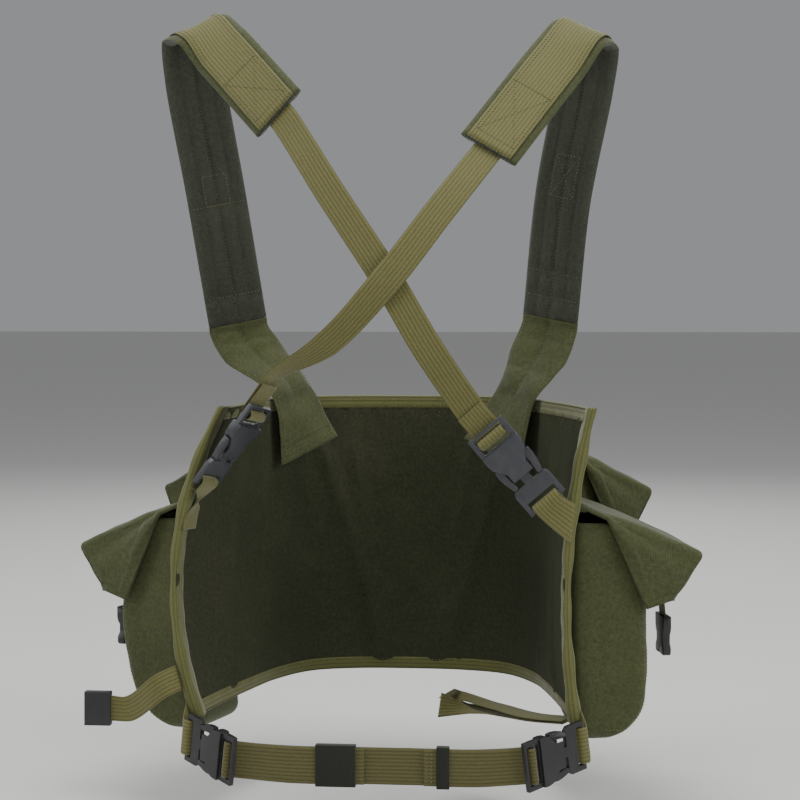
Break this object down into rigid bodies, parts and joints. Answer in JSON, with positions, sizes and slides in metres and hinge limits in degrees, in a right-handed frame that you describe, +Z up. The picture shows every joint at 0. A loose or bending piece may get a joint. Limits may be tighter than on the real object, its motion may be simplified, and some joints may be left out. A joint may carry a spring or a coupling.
{
  "type": "safety harness vest",
  "caption": "Load-carrying chest harness: curved cloth panel with lidded pouches, two padded shoulder straps crossing at the back, and a waist belt, all on side-release buckles.",
  "frame": {"origin": "centre between the shoulder straps' tops, at the highest point's level, where the wearer's shoulders carry it", "axes": "+Z up, +Y towards the wearer's front, +X towards the wearer's right as seen from behind"},
  "size_m": [0.6286, 0.3745, 0.7633],
  "materials": {
    "cloth": "matt woven nylon, olive drab",
    "webbing": "ribbed nylon webbing, olive",
    "lining": "matt padded lining, dark grey-green",
    "elastic": "matt black elastic",
    "nylon": "satin moulded nylon, black"
  },
  "bodies": {
    "harness": {"back_tail_left": "webbing", "back_tail_right": "webbing", "belt_webbing": "webbing", "binding_bottom": "webbing", "binding_rear_left": "webbing", "binding_rear_right": "webbing", "binding_top": "webbing", "buckle_shoulder_left_plug": "nylon", "buckle_shoulder_left_socket": "nylon", "buckle_shoulder_right_plug": "nylon", "buckle_shoulder_right_socket": "nylon", "buckle_waist_left_plug": "nylon", "buckle_waist_left_socket": "nylon", "buckle_waist_right_plug": "nylon", "buckle_waist_right_socket": "nylon", "chest_panel": "cloth", "loop_shoulder_left": "webbing", "loop_shoulder_right": "webbing", "loop_waist_left": "webbing", "loop_waist_right": "webbing", "lower_strap_left": "cloth", "lower_strap_right": "cloth", "pad_webbing_left": "webbing", "pad_webbing_right": "webbing", "pouch_corner_left": "cloth", "pouch_corner_right": "cloth", "pouch_front_left": "cloth", "pouch_front_middle": "cloth", "pouch_front_right": "cloth", "pouch_side_left": "cloth", "pouch_side_right": "cloth", "shoulder_pad_left": "lining", "shoulder_pad_right": "lining", "side_clip_left": "nylon", "side_strap_left": "webbing", "spare_tail_right": "webbing"},
    "buckle_shoulder_right_latch_a": {"buckle_shoulder_right_latch_a": "nylon"},
    "buckle_shoulder_right_latch_b": {"buckle_shoulder_right_latch_b": "nylon"},
    "buckle_shoulder_left_latch_a": {"buckle_shoulder_left_latch_a": "nylon"},
    "buckle_shoulder_left_latch_b": {"buckle_shoulder_left_latch_b": "nylon"},
    "buckle_waist_right_latch_a": {"buckle_waist_right_latch_a": "nylon"},
    "buckle_waist_right_latch_b": {"buckle_waist_right_latch_b": "nylon"},
    "buckle_waist_left_latch_a": {"buckle_waist_left_latch_a": "nylon"},
    "buckle_waist_left_latch_b": {"buckle_waist_left_latch_b": "nylon"},
    "flap_side_right": {"flap_side_right": "cloth", "closure_side_right": "nylon"},
    "flap_side_left": {"flap_side_left": "cloth", "closure_side_left": "nylon"},
    "flap_corner_right": {"flap_corner_right": "cloth", "closure_corner_right": "nylon"},
    "flap_corner_left": {"flap_corner_left": "cloth", "closure_corner_left": "nylon"},
    "flap_front_middle": {"flap_front_middle": "cloth", "closure_front_middle": "nylon"},
    "flap_front_right": {"flap_front_right": "cloth", "closure_front_right": "nylon"},
    "flap_front_left": {"flap_front_left": "cloth", "closure_front_left": "nylon"},
    "keeper_left": {"keeper_left": "elastic"},
    "keeper_right": {"keeper_right": "elastic"}
  },
  "joints": [
    {"name": "latch_shoulder_right_a", "type": "hinge", "parent": "harness", "child": "buckle_shoulder_right_latch_a", "pos_m": [0.14508, -0.13303, -0.44355], "axis": [-0.0256, -0.9958, -0.0883], "range_deg": [0, 6], "stiffness_Nm_per_rad": 0.5, "springref_deg": -1.72},
    {"name": "latch_shoulder_right_b", "type": "hinge", "parent": "harness", "child": "buckle_shoulder_right_latch_b", "pos_m": [0.12241, -0.13071, -0.46306], "axis": [0.0256, 0.9958, 0.0883], "range_deg": [0, 6], "stiffness_Nm_per_rad": 0.5, "springref_deg": -1.72},
    {"name": "latch_shoulder_left_a", "type": "hinge", "parent": "harness", "child": "buckle_shoulder_left_latch_a", "pos_m": [-0.15611, -0.1167, -0.43836], "axis": [0.7335, -0.3598, -0.5766], "range_deg": [0, 6], "stiffness_Nm_per_rad": 0.5, "springref_deg": -1.72},
    {"name": "latch_shoulder_left_b", "type": "hinge", "parent": "harness", "child": "buckle_shoulder_left_latch_b", "pos_m": [-0.16591, -0.14461, -0.4334], "axis": [-0.7335, 0.3598, 0.5766], "range_deg": [0, 6], "stiffness_Nm_per_rad": 0.5, "springref_deg": -1.72},
    {"name": "latch_waist_right_a", "type": "hinge", "parent": "harness", "child": "buckle_waist_right_latch_a", "pos_m": [0.16678, -0.14702, -0.69416], "axis": [0.686, -0.7276, 0], "range_deg": [0, 6], "stiffness_Nm_per_rad": 0.5, "springref_deg": -1.72},
    {"name": "latch_waist_right_b", "type": "hinge", "parent": "harness", "child": "buckle_waist_right_latch_b", "pos_m": [0.17071, -0.14332, -0.72874], "axis": [-0.686, 0.7276, 0], "range_deg": [0, 6], "stiffness_Nm_per_rad": 0.5, "springref_deg": -1.72},
    {"name": "latch_waist_left_a", "type": "hinge", "parent": "harness", "child": "buckle_waist_left_latch_a", "pos_m": [-0.18021, -0.14332, -0.72874], "axis": [-0.686, -0.7276, 0], "range_deg": [0, 6], "stiffness_Nm_per_rad": 0.5, "springref_deg": -1.72},
    {"name": "latch_waist_left_b", "type": "hinge", "parent": "harness", "child": "buckle_waist_left_latch_b", "pos_m": [-0.17628, -0.14702, -0.69416], "axis": [0.686, 0.7276, 0], "range_deg": [0, 6], "stiffness_Nm_per_rad": 0.5, "springref_deg": -1.72},
    {"name": "lid_side_right", "type": "hinge", "parent": "harness", "child": "flap_side_right", "pos_m": [0.1686, -0.04956, -0.478], "axis": [0.1825, -0.9832, 0], "range_deg": [0, 90]},
    {"name": "lid_side_left", "type": "hinge", "parent": "harness", "child": "flap_side_left", "pos_m": [-0.18443, -0.0486, -0.478], "axis": [0.3029, 0.953, 0], "range_deg": [0, 90]},
    {"name": "lid_corner_right", "type": "hinge", "parent": "harness", "child": "flap_corner_right", "pos_m": [0.145, 0.05409, -0.432], "axis": [0.3869, -0.9221, 0], "range_deg": [0, 80]},
    {"name": "lid_corner_left", "type": "hinge", "parent": "harness", "child": "flap_corner_left", "pos_m": [-0.14503, 0.05413, -0.432], "axis": [0.3846, 0.9231, 0], "range_deg": [0, 80]},
    {"name": "lid_front_middle", "type": "hinge", "parent": "harness", "child": "flap_front_middle", "pos_m": [0, 0.1333, -0.404], "axis": [1, 0, 0], "range_deg": [0, 75]},
    {"name": "lid_front_right", "type": "hinge", "parent": "harness", "child": "flap_front_right", "pos_m": [0.07401, 0.12622, -0.404], "axis": [0.9596, -0.2814, 0], "range_deg": [0, 75]},
    {"name": "lid_front_left", "type": "hinge", "parent": "harness", "child": "flap_front_left", "pos_m": [-0.07401, 0.12622, -0.404], "axis": [0.9596, 0.2814, 0], "range_deg": [0, 75]},
    {"name": "keeper_left_slide", "type": "slide", "parent": "harness", "child": "keeper_left", "axis": [1, 0, 0], "range_m": [-0.018, 0.04]},
    {"name": "keeper_right_slide", "type": "slide", "parent": "harness", "child": "keeper_right", "axis": [1, 0, 0], "range_m": [-0.012, 0.02]}
  ],
  "couplings": [
    {"joint": "latch_shoulder_right_b", "follows": "latch_shoulder_right_a", "ratio": 1},
    {"joint": "latch_shoulder_left_b", "follows": "latch_shoulder_left_a", "ratio": 1},
    {"joint": "latch_waist_right_b", "follows": "latch_waist_right_a", "ratio": 1},
    {"joint": "latch_waist_left_b", "follows": "latch_waist_left_a", "ratio": 1}
  ]
}
